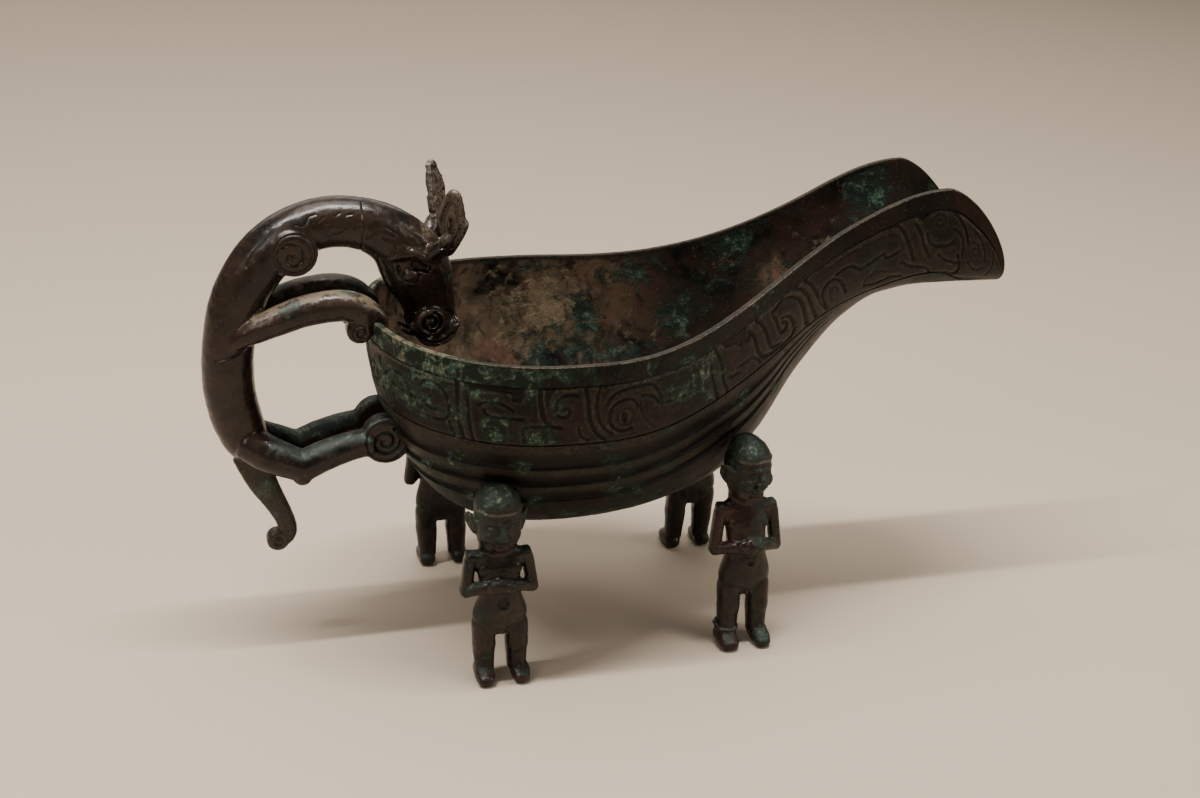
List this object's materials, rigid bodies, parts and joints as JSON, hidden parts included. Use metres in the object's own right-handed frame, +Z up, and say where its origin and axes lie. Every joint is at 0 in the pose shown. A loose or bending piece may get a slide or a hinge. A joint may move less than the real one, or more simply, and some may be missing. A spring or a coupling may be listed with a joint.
{
  "type": "bronze water vessel",
  "caption": "Hollow cast bronze pouring vessel with a long open spout, a dragon handle peering over the rim, scroll bands and standing figures as legs.",
  "frame": {"origin": "on the ground under the middle of the vessel's bounding box", "axes": "+X along the spout, +Y to the far side, +Z up"},
  "size_m": [0.3796, 0.1468, 0.2224],
  "materials": {
    "bowl_bronze": "dark brown bronze with green corrosion in the bands and a mottled inside",
    "dragon_bronze": "dark brown bronze, waxy and worn, grey-green on the ears and tail",
    "figure_bronze": "dark bronze with green corrosion on the heads"
  },
  "bodies": {
    "root": {"bowl": "bowl_bronze", "dragon_handle": "dragon_bronze", "figure_leg_rear_near": "figure_bronze", "figure_leg_rear_far": "figure_bronze", "figure_leg_front_near": "figure_bronze", "figure_leg_front_far": "figure_bronze"}
  },
  "joints": []
}
